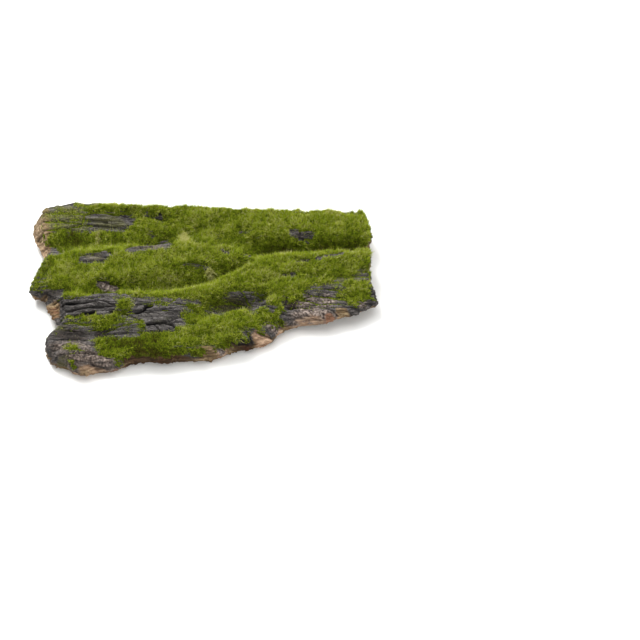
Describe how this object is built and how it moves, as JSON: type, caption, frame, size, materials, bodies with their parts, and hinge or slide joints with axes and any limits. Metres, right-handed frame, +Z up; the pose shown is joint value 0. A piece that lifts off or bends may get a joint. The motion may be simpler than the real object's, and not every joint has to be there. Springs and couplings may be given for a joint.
{
  "type": "moss clump on a slab of bark",
  "caption": "Flat slab of furrowed tree bark, covered with a carpet of short green moss and lying on its hollow inner side.",
  "frame": {"origin": "under the middle of the object's bounding box, on the surface that it lies on", "axes": "+X along the grain of the bark, from the notched end to the straight end; +Y from the ragged front edge to the back edge; +Z up, from the inner bark to the moss"},
  "size_m": [0.2256, 0.127, 0.0286],
  "materials": {
    "bark": "matt, cracked, dark grey outside and tan inside",
    "moss": "matt, soft, short upright shoots"
  },
  "bodies": {
    "root": {"bark_slab": "bark", "moss_carpet": "moss", "moss_back_rim": "moss", "moss_front_slope": "moss", "moss_ledge": "moss", "moss_ledge_tuft": "moss", "moss_crest_tuft": "moss", "moss_knuckle_spot": "moss"}
  },
  "joints": []
}
